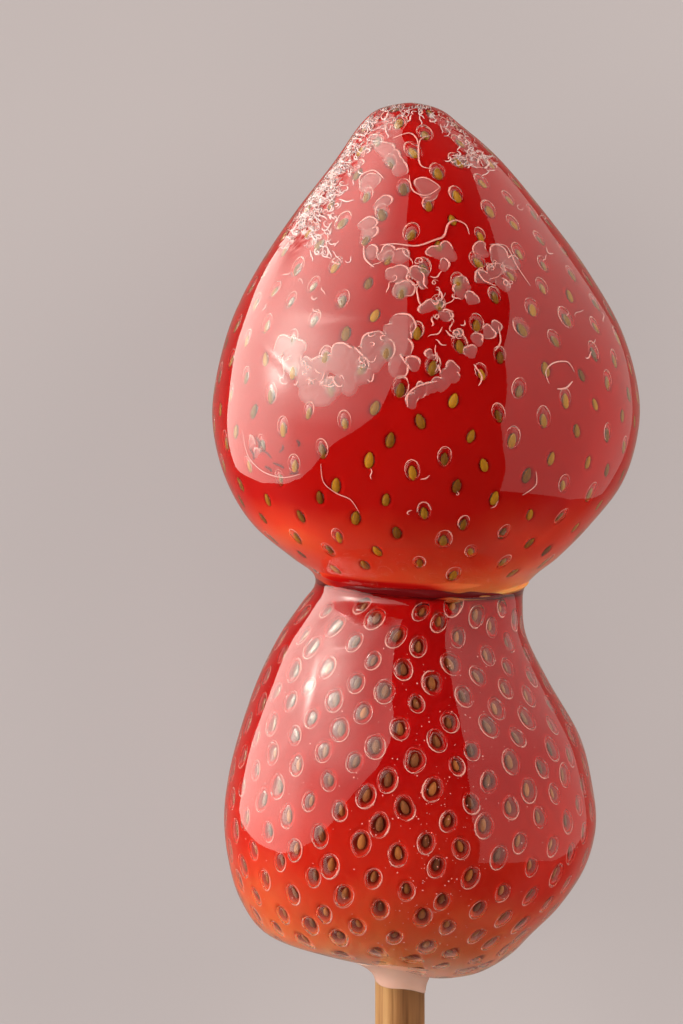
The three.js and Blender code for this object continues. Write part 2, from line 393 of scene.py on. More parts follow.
def even_shares(form, count):
    """Shares at equal steps of the distance walked from tip to base, added up over the right
    side, the front and the left side."""
    fine = np.linspace(0, 1, 1200)
    distance = sum(walked(surface(form, fine, side)) for side in (0, np.pi / 2, np.pi))
    return np.interp(np.linspace(0, distance[-1], count + 2)[1:-1], distance, fine)


def front_angles(count, crowding):
    """Angles all round, closer together on the side shown."""
    return circle(count) + crowding * np.cos(circle(count))


def waves(points, lengths, seed):
    """A sum of plane sine waves of the given lengths in seeded random directions, from -1 to 1."""
    rng = np.random.default_rng(seed)
    total = np.zeros(points.shape[:-1])
    for length in lengths:
        way = rng.normal(size=3)
        way /= np.linalg.norm(way)
        total += np.sin(points @ way * 2 * np.pi / length + rng.uniform(0, 2 * np.pi))
    return total / len(lengths)


def add_attribute(piece, name, values):
    """A value for each vertex, which the material reads by name."""
    attribute = piece.data.attributes.new(name, "FLOAT", "POINT")
    attribute.data.foreach_set("value", values.astype(np.float32))


def flesh_swell(points):
    """Low swells of the flesh, a tenth of a millimetre either way."""
    return 0.10 * MM * waves(points, (9 * MM, 6 * MM, 13 * MM), 3)


def flesh_object(name, form, seeds):
    """The berry's smooth surface, a sugar shell's thickness in, with low swells, and at each seed an
    oval pit: its floor drops by the pit's depth inside the oval, and the flesh swells a little
    round it. The attributes say how pale the flesh is at a vertex, painted light and shade included,
    and how deep that is in a pit."""
    rows, columns = 236, 400
    share, angle = np.broadcast_arrays(even_shares(form, rows)[:, None], front_angles(columns, 0.45))
    points = surface(form, share, angle, -SUGAR).reshape(-1, 3)
    place, lengthwise, across, _ = seed_frame(form, seeds, -SUGAR)
    half_width, half_length, depth = form["pit"]
    distance = np.full(len(points), 9.0)
    for k in range(len(place)):
        offset = points - place[k]
        near = np.flatnonzero(np.einsum("ij,ij->i", offset, offset) < (3 * half_length) ** 2)
        x = offset[near] @ lengthwise[k] / (half_length * seeds["size"][k])
        y = offset[near] @ across[k] / (half_width * seeds["size"][k])
        distance[near] = np.minimum(distance[near], np.sqrt(x**2 + y**2))
    bowl = np.clip(1.08 - distance, 0, 0.45) / 0.45
    bowl = bowl * bowl * (3 - 2 * bowl)
    swell = np.exp(-((distance - 1.5) / 0.45) ** 2) * (distance > 1)
    height = -depth * bowl + 0.12 * depth * swell + flesh_swell(points)
    points = points + directions(form, share, angle)[2].reshape(-1, 3) * height[:, None]
    points[:, 2] = np.maximum(points[:, 2], 0.8 * SUGAR)
    poles = surface(form, np.array([0.0, 1.0]), 0.0)
    poles[0, 1] -= SUGAR
    poles[1, 1] += SUGAR
    piece = grid_object(name, points.reshape(*share.shape, 3), poles)
    add_attribute(piece, "ripeness_and_painted_light", np.append(form["ripeness_and_painted_light"](share, angle).ravel(), [0, 1]))
    add_attribute(piece, "pit", np.append(bowl, [0, 0]))
    return piece


def upper_keeps(points):
    """Seeds of the upper berry, but none on its flat spot or in the hollow of its base."""
    return (points[:, 2] > SEED_CLEARANCE) & (TIP_Y - points[:, 1] < 43.2 * MM)


def lower_keeps(points):
    """Seeds of the lower berry, but none on its flat spot, on the buried tip or by the stick."""
    off_stick = np.hypot(points[:, 0] - STICK_X, points[:, 2] - STICK_Z) > 4.2 * MM
    return (points[:, 2] > SEED_CLEARANCE) & (TIP_Y - points[:, 1] > 44.8 * MM) & off_stick


def stored(tree, name):
    """The value that the vertices carry under a name."""
    return add_node(tree, "Attribute", attribute_name=name)["Fac"]


def strawberry_flesh(name, stops, pit_colour):
    """Colour by the distance down the berry, with the painted light and shade that the stored
    paleness carries, mottled by a noise, darker in the pits; light scatters under the skin,
    furthest in red."""
    material, tree, shader = new_material(name, {
        "Roughness": 0.45, "Specular IOR Level": 0.0, "Subsurface Weight": 1.0,
        "Subsurface Radius": (1.0, 0.25, 0.15), "Subsurface Scale": 1.2 * MM,
    })
    place = add_node(tree, "TexCoord")["Object"]
    mottle = noise(tree, place, 160, 4)
    # the stored paleness carries painted light and shade as well as the flesh's own paleness
    ripeness_and_painted_light = arithmetic(tree, "MULTIPLY_ADD", mottle, 0.12, stored(tree, "ripeness_and_painted_light"))
    red = colour_ramp(tree, ripeness_and_painted_light, stops)
    colour = add_node(tree, "Mix", {"Factor": stored(tree, "pit"), "A": red, "B": (*pit_colour, 1)},
                      data_type="RGBA")
    fill(shader, {"Base Color": colour["Result"]})
    roughen(shader, noise(tree, place, 2500), 0.25, 0.05 * MM)
    return material


upper_seeds = seeds_of(UPPER, upper_keeps)
lower_seeds = seeds_of(LOWER, lower_keeps)
upper_flesh = flesh_object("upper_flesh", UPPER, upper_seeds)
lower_flesh = flesh_object("lower_flesh", LOWER, lower_seeds)
upper_flesh.data.materials.append(strawberry_flesh("upper_flesh_red", [
    # the first stop, dark, is the tip's deep red and also the painted shade in the groove
    (0.0, (0.10, 0.001, 0.002)), (0.10, (0.38, 0.005, 0.004)), (0.24, (0.38, 0.005, 0.004)),
    (0.45, (0.31, 0.002, 0.002)), (0.72, (0.38, 0.006, 0.004)),
    (0.84, (0.56, 0.045, 0.016)), (0.92, (0.66, 0.13, 0.04)), (1.0, (0.62, 0.20, 0.06)),
], (0.26, 0.004, 0.002)))
lower_flesh.data.materials.append(strawberry_flesh("lower_flesh_red", [
    # painted shade: the first stops darken the lower berry's top, in the groove under the upper berry
    (0.04, (0.09, 0.002, 0.002)), (0.16, (0.29, 0.002, 0.002)), (0.45, (0.35, 0.004, 0.004)),
    (0.64, (0.46, 0.020, 0.009)), (0.75, (0.55, 0.115, 0.034)), (0.84, (0.68, 0.26, 0.125)),
    (0.93, (0.80, 0.40, 0.27)),
], (0.28, 0.024, 0.012)))
for flesh, node in ((upper_flesh, "upper_strawberry"), (lower_flesh, "lower_strawberry")):
    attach(flesh, "root")
    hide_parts(node)

# ----------------------------------------------------------
# Seeds. A strawberry's seeds are small dry nutlets, pointed towards the tip, one in each pit:
# golden where they lie near the sugar and olive where they lie deep.


def joined_object(name, points, faces, tone=None, reverse=False):
    """Copies of one small closed shape as a single mesh: points holds shape by vertex, and every
    copy uses the same faces."""
    copies, count = points.shape[:2]
    shifts = (np.arange(copies) * count)[:, None]
    shapes = []
    for face in faces:
        shapes += (np.array(face[::-1] if reverse else face) + shifts).tolist()
    piece = mesh_object(name, points, shapes)
    if tone is not None:
        add_attribute(piece, "tone", np.repeat(tone, count))
    return piece


def round_shape(heights, radii, sides):
    """Unit vertices and faces of a turned shape: one ring for each height and radius, and a pole
    above the first and below the last. Columns are x, y across and z up."""
    angle = 2 * np.pi * np.arange(sides) / sides
    rings = [np.stack([r * np.cos(angle), r * np.sin(angle), np.full(sides, h)], axis=-1)
             for h, r in zip(heights[1:-1], radii)]
    vertices = np.concatenate(rings + [[[0, 0, heights[0]]], [[0, 0, heights[-1]]]])
    top, bottom = len(vertices) - 2, len(vertices) - 1
    faces = []
    for side in range(sides):
        follow = (side + 1) % sides
        faces.append([top, side, follow])
        for ring in range(len(rings) - 1):
            a, b = ring * sides, (ring + 1) * sides
            faces.append([a + side, b + side, b + follow, a + follow])
        a = (len(rings) - 1) * sides
        faces.append([bottom, a + follow, a + side])
    return vertices, faces


def seed_object(name, form, seeds, sink):
    """Flattened drops: a turned dome squeezed to a point towards the berry's tip, each set on the
    floor of its pit."""
    shape, faces = round_shape([1, 0.93, 0.7, 0.3, -0.3, -0.6], [0.38, 0.72, 0.95, 0.95], 12)
    half_width, half_length, height = form["seed"]
    place, lengthwise, across, out = seed_frame(form, seeds, -SUGAR - sink)
    size = seeds["size"][:, None, None]
    narrow = 1 - 0.22 * (1 - shape[:, 0]) * (shape[:, 0] < 1) * 0.8
    points = (place[:, None] + size * (
        lengthwise[:, None] * (shape[:, 0] * half_length)[None, :, None]
        + across[:, None] * (shape[:, 1] * narrow * half_width)[None, :, None]
        + out[:, None] * (shape[:, 2] * height)[None, :, None]))
    return joined_object(name, points, faces, seeds["tone"])


def seed_shell(name, light, dark):
    """A shell whose tone differs from seed to seed, with fine streaks."""
    material, tree, shader = new_material(name, {"Roughness": 0.4})
    streak = noise(tree, add_node(tree, "TexCoord")["Object"], 3200)
    tone = arithmetic(tree, "SUBTRACT", stored(tree, "tone"), 0.3)
    varied = arithmetic(tree, "MULTIPLY_ADD", streak, 0.6, tone)
    shell = [(0.0, dark), (0.75, light), (1.0, tuple(1.25 * c for c in light))]
    fill(shader, {"Base Color": colour_ramp(tree, varied, shell)})
    roughen(shader, streak, 0.4, 0.03 * MM)
    return material


upper_nutlets = seed_object("upper_seeds", UPPER, upper_seeds, 0.10 * MM)
lower_nutlets = seed_object("lower_seeds", LOWER, lower_seeds, 0.40 * MM)
golden = seed_shell("golden_seed", (0.27, 0.125, 0.006), (0.10, 0.036, 0.003))
olive = seed_shell("olive_seed", (0.30, 0.10, 0.024), (0.11, 0.034, 0.014))
for nutlets, shell, node in ((upper_nutlets, golden, "upper_strawberry"),
                             (lower_nutlets, olive, "lower_strawberry")):
    nutlets.data.materials.append(shell)
    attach(nutlets, "root")
    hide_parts(node)

# ----------------------------------------------------------
# Sugar. The skewer is dipped in boiled sugar, which sets to a clear shell about half a millimetre
# thick, filling the waist between the berries. Air stays trapped over the seeds and in flat
# pockets between sugar and flesh, whose edges shine.
SUGAR_IOR = 1.62
POCKET_FIT = 1.04
SHELL = {
    "rings": np.concatenate([
        UPPER["rings"][:12],
        np.array([(42.5, -8.0, 12.55), (43.9, -7.75, 11.35), (45.5, -8.95, 11.15)]) * MM,
        LOWER["rings"][4:],
    ]),
}
for key in ("depth", "forward", "lean"):
    SHELL[key] = np.interp(SHELL["rings"][:, 0], [40 * MM, 48 * MM], [UPPER[key], LOWER[key]])


def pocket_points(form, share, angle, half_length, half_width, turn, top, floor, lobes):
    """Flat oval bubbles on the flesh: a turned shape with a nearly flat top and a round rim, its
    outline pushed in and out by the lobes, laid on the berry's surface; its floor lies inside
    the flesh."""
    shape, faces = round_shape([1, 0.96, 0.76, 0.20, -0.5, -1], [0.55, 0.84, 1.0, 0.9], 16)
    around = np.arctan2(shape[:, 1], shape[:, 0])
    wobble = 1 + lobes[:, None] * np.sin(3 * around[None] + 9 * turn[:, None]) \
        + 0.6 * lobes[:, None] * np.sin(5 * around[None] + 23 * turn[:, None])
    x = shape[None, :, 0] * wobble * half_length[:, None]
    y = shape[None, :, 1] * wobble * half_width[:, None]
    at_share, at_angle = laid_out(form, share[:, None], angle[:, None], x, y, turn[:, None])
    z = np.where(shape[None, :, 2] > 0, shape[None, :, 2] * top[:, None], shape[None, :, 2] * floor)
    return surface(form, at_share, at_angle, -SUGAR + z), faces


def laid_out(form, share, angle, x, y, turn):
    """The shares and angles of points x lengthwise and y across from a place on the berry."""
    share, angle, x, y, turn = np.broadcast_arrays(share, angle, x, y, turn)
    along, round_, _ = directions(form, share, angle)
    down = x * np.cos(turn) + y * np.sin(turn)
    aside = x * np.sin(turn) - y * np.cos(turn)
    at_share = np.clip(share + down / length(along), 0.003, 0.997)
    return at_share, angle + aside / length(round_)


def front_place(form, across, down):
    """Share and angle of the point of the front that lies across to the right of the stick's axis
    and down below the skewer's tip."""
    fine, last = np.linspace(0, 1, 900), len(form["rings"]) - 1
    heights = through(form["rings"][:, 0], fine * last, 1)
    slump = 0 * down
    for _ in range(15):
        share = np.interp(down - slump, heights, fine)
        half, middle = girth(form, share * last)
        angle = np.arccos(np.clip((across - middle) / half, -0.985, 0.985))
        front = half * value_at(form, "depth", share * last) * np.sin(angle)
        slump = value_at(form, "lean", share * last) * front
    return share, angle


def near_path(points, path):
    """Distance of points from a path of (across, down) millimetres on the shell's front."""
    path = np.array(path, float) * MM
    corners = surface(SHELL, *front_place(SHELL, path[:, 0], path[:, 1]))
    nearest = np.full(points.shape[:-1], 1.0)
    for a, b in zip(corners[:-1], corners[1:]):
        way = b - a
        along = np.clip((points - a) @ way / (way @ way), 0, 1)
        nearest = np.minimum(nearest, length(points - a - along[..., None] * way))
    return nearest


def outer_wall():
    """The shell's outside: the dipped outline with slow ripples all over, fine wrinkles near the
    tip, and low ridges where a run of sugar set on the lower berry and a fold on the upper one;
    flat where it set on the tray. Also its poles and how crinkled it is at each vertex."""
    share, angle = np.broadcast_arrays(even_shares(SHELL, 230)[:, None], front_angles(260, 0.40))
    smooth = surface(SHELL, share, angle)
    ripple = 0.05 * MM * waves(smooth, (11 * MM, 7 * MM, 17 * MM), 11)
    near_tip = np.clip(1 - share / 0.12, 0, 1)
    wrinkle = 0.04 * MM * near_tip * waves(smooth, (1.6 * MM, 2.3 * MM, 1.2 * MM, 3 * MM), 12)
    run = near_path(smooth, [(0.5, 48.8), (-4.5, 49.3), (-7.3, 50.0), (-8.0, 53.4), (-8.8, 56.1),
                             (-11.6, 60.2)])
    fold = near_path(smooth, [(-13.6, 21.5), (-12.3, 22.3), (-10.9, 23.5), (-9.5, 24.9), (-8.3, 25.9)])
    ridge = np.maximum(0.06 * MM * np.exp(-((run / (0.80 * MM)) ** 2)),
                       0.11 * MM * np.exp(-((fold / (0.45 * MM)) ** 2)))
    points = surface(SHELL, share, angle, ripple + wrinkle + ridge)
    points[..., 2] = np.maximum(points[..., 2], 0)
    left_of_tip = near_path(smooth, [(-1.0, 1.2), (-4.2, 4.2), (-7.0, 8.2), (-9.0, 11.8)])
    right_of_tip = near_path(smooth, [(1, 0.8), (4.5, 2.2), (7.5, 6.0)])
    crinkled = np.maximum(np.exp(-((left_of_tip / (2.4 * MM)) ** 4)),
                          0.7 * np.exp(-((right_of_tip / (1.2 * MM)) ** 2)))
    return points, surface(SHELL, np.array([0.0, 1.0]), 0.0), crinkled


def seeds_under_air(form, seeds):
    """The seeds that have air over them, all on the lower berry and fewer and fewer towards the
    base of the upper one, and their numbers; and for each one's pocket the share of its middle,
    its size against the pit's and the flesh's swell under it."""
    index = np.arange(len(seeds["share"]))
    if form is UPPER:
        chance = np.interp(seeds["share"], [0.35, 0.55, 0.80], [0.95, 0.45, 0.35])
        index = index[scatter(index, 12) < chance]
    seeds = {key: values[index] for key, values in seeds.items()}
    reach = form["air"][0]
    along, _, _ = directions(form, seeds["share"], seeds["angle"])
    share = np.clip(seeds["share"] - reach / length(along), *END_SHARES)
    size = seeds["size"] * (1.12 + 0.3 * (scatter(index, 7) - 0.3) * (reach > 0))
    return seeds, index, share, size, flesh_swell(surface(form, share, seeds["angle"]))


def seed_pockets():
    """An air pocket over each seed: round the whole pit on the lower berry, and reaching from the
    seed towards the tip on the upper one."""
    pieces = []
    for form, all_seeds in ((UPPER, upper_seeds), (LOWER, lower_seeds)):
        half_width, half_length, depth = form["pit"]
        seeds, index, share, size, lift = seeds_under_air(form, all_seeds)
        points, faces = pocket_points(
            form, share, seeds["angle"], POCKET_FIT * half_length * size,
            POCKET_FIT * half_width * size, seeds["turn"], form["air"][1] * size + lift,
            1.4 * depth + 0.3 * MM, 0.03 + 0.05 * scatter(index, 8))
        pieces.append(joined_object("air_pocket", points, faces, reverse=True))
    return pieces


def sugar_object():
    """One mesh: the outer wall, and inside it the walls of the air pockets, which face into the
    air, away from the sugar."""
    points, poles, crinkled = outer_wall()
    shell = grid_object("sugar_shell", points, poles)
    add_attribute(shell, "crinkled", np.append(crinkled, [0.5, 0]))
    pieces = [shell, *seed_pockets()]
    with bpy.context.temp_override(active_object=shell, selected_editable_objects=pieces):
        bpy.ops.object.join()
    return shell


def strewn(rng, path, count, spread):
    """Places strewn along a path of (across, down) millimetres, each within spread of it."""
    path = np.array(path, float)
    distance = walked(path)
    at = rng.uniform(0, distance[-1], count)
    return np.stack([np.interp(at, distance, path[:, k]) + rng.uniform(-spread, spread, count)
                     for k in (0, 1)])


def lifted_discs():
    """Where the shell stands off the upper berry, as (across, down, radius) in millimetres: small
    blisters round the tip and down its left side, patches under the tip, a ragged band across the
    left cheek and squiggles down the middle."""
    rng = np.random.default_rng(7)
    blisters = [
        np.stack([*strewn(rng, path, count, spread), rng.uniform(small, large, count)], axis=1)
        for path, count, spread, small, large in (
            ([(-2.2, 0.9), (-4.2, 3.4), (-6.8, 6.8), (-8.8, 10.5), (-9.5, 12.5)], 139, 1.5, 0.20, 0.55),
            ([(4.2, 1.6), (5.6, 3.2), (7.0, 5.0)], 21, 0.7, 0.18, 0.40))
    ]
    under_tip = [
        (-2.5, 3.7, 0.8), (-1.5, 4.5, 0.9), (-0.7, 5.5, 0.9), (-0.1, 6.4, 0.8), (-2.9, 7.7, 1.05),
        (-1.7, 9.6, 0.8), (-3.1, 11.5, 0.8), (-2.9, 12.4, 0.7), (5.3, 5.7, 0.75), (6.7, 5.7, 0.85),
        (2.3, 8.3, 1.2),
    ]
    middle = [
        (-2.7, 14.2, 0.7), (-1.4, 14.3, 0.8), (-0.2, 14.6, 0.85), (-0.5, 16.2, 0.95), (0.1, 17.6, 0.95),
        (1.4, 16.2, 0.85), (3.0, 14.3, 0.8), (4.0, 14.2, 0.9), (3.7, 15.4, 0.55), (1.7, 17.0, 0.55),
        (2.2, 19.2, 0.7), (3.1, 19.0, 0.55), (3.7, 20.0, 0.6), (5.3, 17.0, 0.7), (6.1, 18.4, 0.7),
        (5.0, 17.8, 0.6),
    ]
    right = [
        (7.0, 14.0, 0.86), (8.6, 14.3, 0.95), (8.3, 15.9, 0.95), (9.8, 15.1, 0.8), (7.2, 16.5, 0.8),
        (8.9, 17.1, 0.7), (6.6, 22.0, 0.6), (7.5, 21.4, 0.65), (8.3, 20.9, 0.6), (5.9, 23.1, 0.65),
        (4.8, 21.5, 0.45),
    ]
    band = [
        (-10.5, 22.5, 1.1), (-9.4, 22.6, 0.95), (-9.7, 24.0, 1.2), (-8.5, 25.1, 1.3), (-7.4, 24.7, 1.2),
        (-8.2, 26.4, 1.2), (-6.9, 27.0, 1.1), (-6.1, 26.2, 1.1), (-5.8, 24.2, 1.25), (-5.3, 23.3, 1.1),
        (-4.4, 24.0, 1.25), (-4.9, 25.6, 1.25), (-3.6, 25.0, 1.1), (-2.7, 22.5, 1.2), (-2.5, 24.0, 1.1),
        (-1.4, 23.1, 1.2), (-0.6, 21.7, 1.2), (0.1, 20.6, 1.0), (-0.2, 22.5, 1.1), (-0.5, 24.5, 0.95),
    ]
    below = [
        (0.8, 27.5, 0.6), (1.4, 26.6, 0.65), (2.3, 26.4, 0.65), (3.3, 26.0, 0.7), (4.1, 25.2, 0.8),
        (4.4, 24.6, 0.65), (0.9, 24.2, 0.7), (2.3, 23.3, 0.45), (-13.4, 31.0, 0.55), (-12.9, 31.9, 0.5),
    ]
    return np.concatenate([*blisters, under_tip, middle, right, band, below]) * MM


def disc_edge(index, around):
    """How far a disc's uneven outline reaches at an angle round it, for a radius of one."""
    return 1 + 0.14 * np.sin(2 * around + 7.1 * index) + 0.09 * np.sin(3 * around + 4.3 * index)


def drift(points):
    """How far the outlines of the lifted places wander at each point, lengthwise and across."""
    return (0.15 * MM * waves(points, (1.9 * MM, 2.8 * MM, 1.3 * MM), 41),
            0.15 * MM * waves(points, (1.9 * MM, 2.8 * MM, 1.3 * MM), 42))


def air_gap_object():
    """The shell's inner wall over the shown side of the upper berry: inside the flesh where the
    two touch, and lifted off it in every disc, flat on top and rounded at the rim, with a crease
    between neighbouring discs. It closes to one point deep in the flesh."""
    rows = columns = 300
    share = np.interp(np.linspace(0.003, 0.80, rows), np.linspace(0, 1, rows + 2)[1:-1],
                      even_shares(UPPER, rows))
    angle = np.radians(np.linspace(42, 168, columns))
    share, angle = np.broadcast_arrays(share[:, None], angle)
    points = surface(UPPER, share, angle, -SUGAR).reshape(-1, 3)
    discs = lifted_discs()
    at = front_place(UPPER, discs[:, 0], discs[:, 1])
    centres = surface(UPPER, *at, -SUGAR)
    along, round_, _ = directions(UPPER, *at)
    along, round_ = unit(along), unit(round_)
    nearest = np.full(len(points), 1.0)
    second = np.full(len(points), 1.0)
    lengthwise, across = drift(points)
    for k, (centre, radius) in enumerate(zip(centres, discs[:, 2])):
        offset = points - centre + lengthwise[:, None] * along[k] - across[:, None] * round_[k]
        around = np.arctan2(offset @ -round_[k], offset @ along[k])
        inside = length(offset) - radius * disc_edge(k, around)
        second = np.minimum(second, np.maximum(nearest, inside))
        nearest = np.minimum(nearest, inside)
    rim = 0.30 * MM
    rise = np.sqrt(1 - (1 - np.clip(-nearest / rim, 0, 1)) ** 2)
    crease = np.exp(-((second - nearest) / (0.16 * MM)) ** 2)
    uneven = 0.030 * MM * waves(points, (0.9 * MM, 1.4 * MM, 2.0 * MM), 21)
    height = 0.14 * MM * rise * (1 - 0.30 * crease) + uneven
    height = np.where(nearest < 0, height, -np.clip(nearest * 0.8, 0, 0.10 * MM) - 0.02 * MM)
    height = (height + flesh_swell(points)).reshape(share.shape)
    height[[0, -1]], height[:, [0, -1]] = -0.15 * MM, -0.15 * MM
    points = surface(UPPER, share, angle, -SUGAR + height)
    edge = np.concatenate([
        np.arange(columns), np.arange(1, rows) * columns + columns - 1,
        (rows - 1) * columns + np.arange(columns - 1)[::-1], np.arange(1, rows - 1)[::-1] * columns,
    ])
    deep = [[STICK_X + 1 * MM, TIP_Y - 20 * MM, STICK_Z + 6 * MM]]
    fan = [[a, rows * columns, b] for a, b in zip(edge, np.roll(edge, -1))]
    return mesh_object("air_gap", np.concatenate([points.reshape(-1, 3), deep]),
                       grid_cells(rows, columns, open_columns=True) + fan)


def tubes(name, points, closed):
    """Tubes as a single mesh, from the points of each tube, ring by ring; they close on
    themselves or end flat."""
    count, rings, corners = points.shape[:3]
    faces = grid_cells(rings, corners, open_rows=not closed, flip=True)
    if not closed:
        faces += [[*range(corners)[::-1]], [(rings - 1) * corners + k for k in range(corners)]]
    return joined_object(name, points.reshape(count, rings * corners, 3), faces, reverse=closed)


def rim_object(name, form, seeds, radius, back):
    """The pale line where a seed's air pocket ends, a painted highlight where the rim catches the
    light: a thin oval ring on the flesh, thicker towards the side that shines; back turns that side,
    in radians from the berry's base."""
    around, section = circle(16), circle(3)
    half_width, half_length, _ = form["pit"]
    seeds, index, share, size, lift = seeds_under_air(form, seeds)
    size = size[:, None, None]
    sway = 2.2 * (scatter(index, 9) - 0.5) + back(seeds["angle"])
    towards = 0.5 + 0.5 * np.cos(around[None] - sway[:, None])
    thick = radius * (0.04 + 0.96 * towards**1.7)[..., None]
    thick = thick * (0.5 + 0.9 * scatter(index, 10))[:, None, None]
    outward = thick * np.cos(section)
    x = (POCKET_FIT * half_length * size + outward) * np.cos(around)[None, :, None]
    y = (POCKET_FIT * half_width * size + outward) * np.sin(around)[None, :, None]
    at_share, at_angle = laid_out(form, share[:, None, None], seeds["angle"][:, None, None], x, y,
                                  seeds["turn"][:, None, None])
    raised = -SUGAR + lift[:, None, None] + 0.05 * MM + thick * np.sin(section)
    return tubes(name, surface(form, at_share, at_angle, raised), closed=True)


def lit_through(tree, shader):
    """Lets the lamps shine straight through a material onto the fruit."""
    ray = add_node(tree, "LightPath")["Is Shadow Ray"]
    open_air = add_node(tree, "BsdfTransparent")[0]
    seen = add_node(tree, "MixShader", {0: ray, 1: shader.outputs[0], 2: open_air})[0]
    tree.links.new(seen, tree.get_output_node("ALL").inputs[0])


def sugar_over_air():
    """The shell's inner side where it stands off the flesh: set against air, so dull and a little
    milky."""
    material, tree, shader = new_material("sugar_over_air", {
        "Base Color": (1.0, 0.90, 0.86, 1), "Roughness": 0.28, "IOR": SUGAR_IOR,
        "Transmission Weight": 0.955,
    })
    lit_through(tree, shader)
    return material


def clear_sugar():
    """Clear glassy sugar, finely crinkled where the attribute says."""
    material, tree, shader = new_material("clear_sugar", {
        "Base Color": (1.0, 0.985, 0.96, 1), "Roughness": 0.0, "IOR": SUGAR_IOR,
        "Transmission Weight": 1.0,
    })
    fold = noise(tree, add_node(tree, "TexCoord")["Object"], 1200, noise_type="RIDGED_MULTIFRACTAL")
    roughen(shader, arithmetic(tree, "MULTIPLY", fold, stored(tree, "crinkled")), 1.0, 0.22 * MM)
    lit_through(tree, shader)
    return material


def milky_sugar_and_highlight(name, colour):
    """Sugar clouded by fine bubbles, pale under any light; on the air pockets' rims and the lines in the
    shell it stands for a painted highlight.
    """
    return new_material(name, {
        "Base Color": (*colour, 1), "Roughness": 0.25, "Subsurface Weight": 0.6,
        "Subsurface Radius": (1.0, 0.6, 0.5), "Subsurface Scale": 0.4 * MM,
    })[0]


sugar = sugar_object()
gap = air_gap_object()
upper_rim_highlights = rim_object("upper_rim_highlights", UPPER, upper_seeds, 0.055 * MM,
                        lambda angle: np.pi + 0.4 * np.cos(angle))
lower_rim_highlights = rim_object("lower_rim_highlights", LOWER, lower_seeds, 0.060 * MM,
                        lambda angle: -1.1 * np.cos(angle))
# painted highlight: milky sugar on the pocket rims, where the light catches them
rim_highlight_sugar = milky_sugar_and_highlight("milky_sugar_and_highlight", (0.64, 0.25, 0.21))
for piece, material, nodes in ((sugar, clear_sugar(), ("upper_strawberry", "lower_strawberry")),
                               (gap, sugar_over_air(), ("upper_strawberry",)),
                               (upper_rim_highlights, rim_highlight_sugar, ("upper_strawberry",)),
                               (lower_rim_highlights, rim_highlight_sugar, ("lower_strawberry",))):
    piece.data.materials.append(material)
    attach(piece, "root")
    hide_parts(*nodes)

# ----------------------------------------------------------
# Marks in the sugar. Where the shell lifted or folded as it set, its edges catch the light as pale
# lines, painted highlights in milky sugar: round the lifted discs, in strands and curls, and in a
# frost of crinkles at the tip. A little dark juice crept under its left side, and pinhead bubbles
# lie in the lower berry's shell.


def blister_rim_highlights():
    """Pale lines round the lifted discs, painted highlights where their edges catch the light: a tube
    along each outline, brightest on the side towards the tip, broken here and there, and sunk out
    of sight where it runs inside a neighbour."""
    discs = lifted_discs()
    share, angle = front_place(UPPER, discs[:, 0], discs[:, 1])
    around, section = circle(32), circle(4)
    index, radii = np.arange(len(discs))[:, None], discs[:, 2:3]
    reach = radii * disc_edge(index, around) - 0.05 * MM
    ring = surface(UPPER, *laid_out(UPPER, share[:, None], angle[:, None], reach * np.cos(around),
                                    reach * np.sin(around), 0.0), -SUGAR)
    centres = surface(UPPER, share, angle, -SUGAR)
    clear = np.full(reach.shape, 1.0)
    for k, (centre, radius) in enumerate(zip(centres, discs[:, 2])):
        inside = length(ring - centre) - radius
        inside[k] = 1.0
        clear = np.minimum(clear, inside)
    small = np.clip((0.9 * MM - radii) / (0.3 * MM), 0, 1)
    bright_side = np.pi + small * 2.6 * (scatter(index, 13) - 0.5)
    broken = 0.75 * waves(ring, (2.1 * MM, 3.4 * MM, 1.1 * MM), 31)
    shown = 0.30 + 0.60 * np.cos(around - bright_side) + broken
    shown = np.clip(shown, 0, 1) ** 0.6 * np.clip(1 + clear / (0.15 * MM), 0, 1)
    thick = (0.105 * MM * shown + 0.004 * MM)[..., None]
    lengthwise, across = drift(ring)
    outline = reach[..., None] + thick * np.cos(section)
    x = outline * np.cos(around)[None, :, None] - lengthwise[..., None]
    y = outline * np.sin(around)[None, :, None] - across[..., None]
    at_share, at_angle = laid_out(UPPER, share[:, None, None], angle[:, None, None], x, y, 0.0)
    rise = (0.07 * shown - 0.12 * (1 - shown) ** 3) * MM
    lift = (flesh_swell(ring) + rise)[..., None]
    points = surface(UPPER, at_share, at_angle, -SUGAR + lift + thick * np.sin(section))
    return tubes("blister_rim_highlights", points, closed=True)


def threads(name, across, down, thick, height):
    """Thin tapered threads inside the upper berry's shell, each along one row of places across
    and down on the front, its middle at a height over the flesh."""
    at = front_place(UPPER, across, down)
    lift = flesh_swell(surface(UPPER, *at, -SUGAR))
    line = surface(UPPER, *at, -SUGAR + height + lift)
    out = directions(UPPER, *at)[2]
    side = unit(np.cross(np.gradient(line, axis=1), out))
    taper = np.sin(np.pi * np.linspace(0, 1, across.shape[1])) ** 0.5 + 0.02
    reach = (thick[:, None] * taper)[:, :, None, None]
    section = circle(5)[:, None]
    corner = side[:, :, None] * np.cos(section) + out[:, :, None] * np.sin(section)
    return tubes(name, line[:, :, None] + reach * corner, closed=False)


def smooth_lines(paths, steps):
    """Places across and down along smooth curves through (across, down) millimetres."""
    lines = []
    for path in paths:
        path, place = np.array(path) * MM, np.linspace(0, len(path) - 1, steps)
        lines.append((through(path[:, 0], place, 1), through(path[:, 1], place, 1)))
    return np.array(lines).transpose(1, 0, 2)


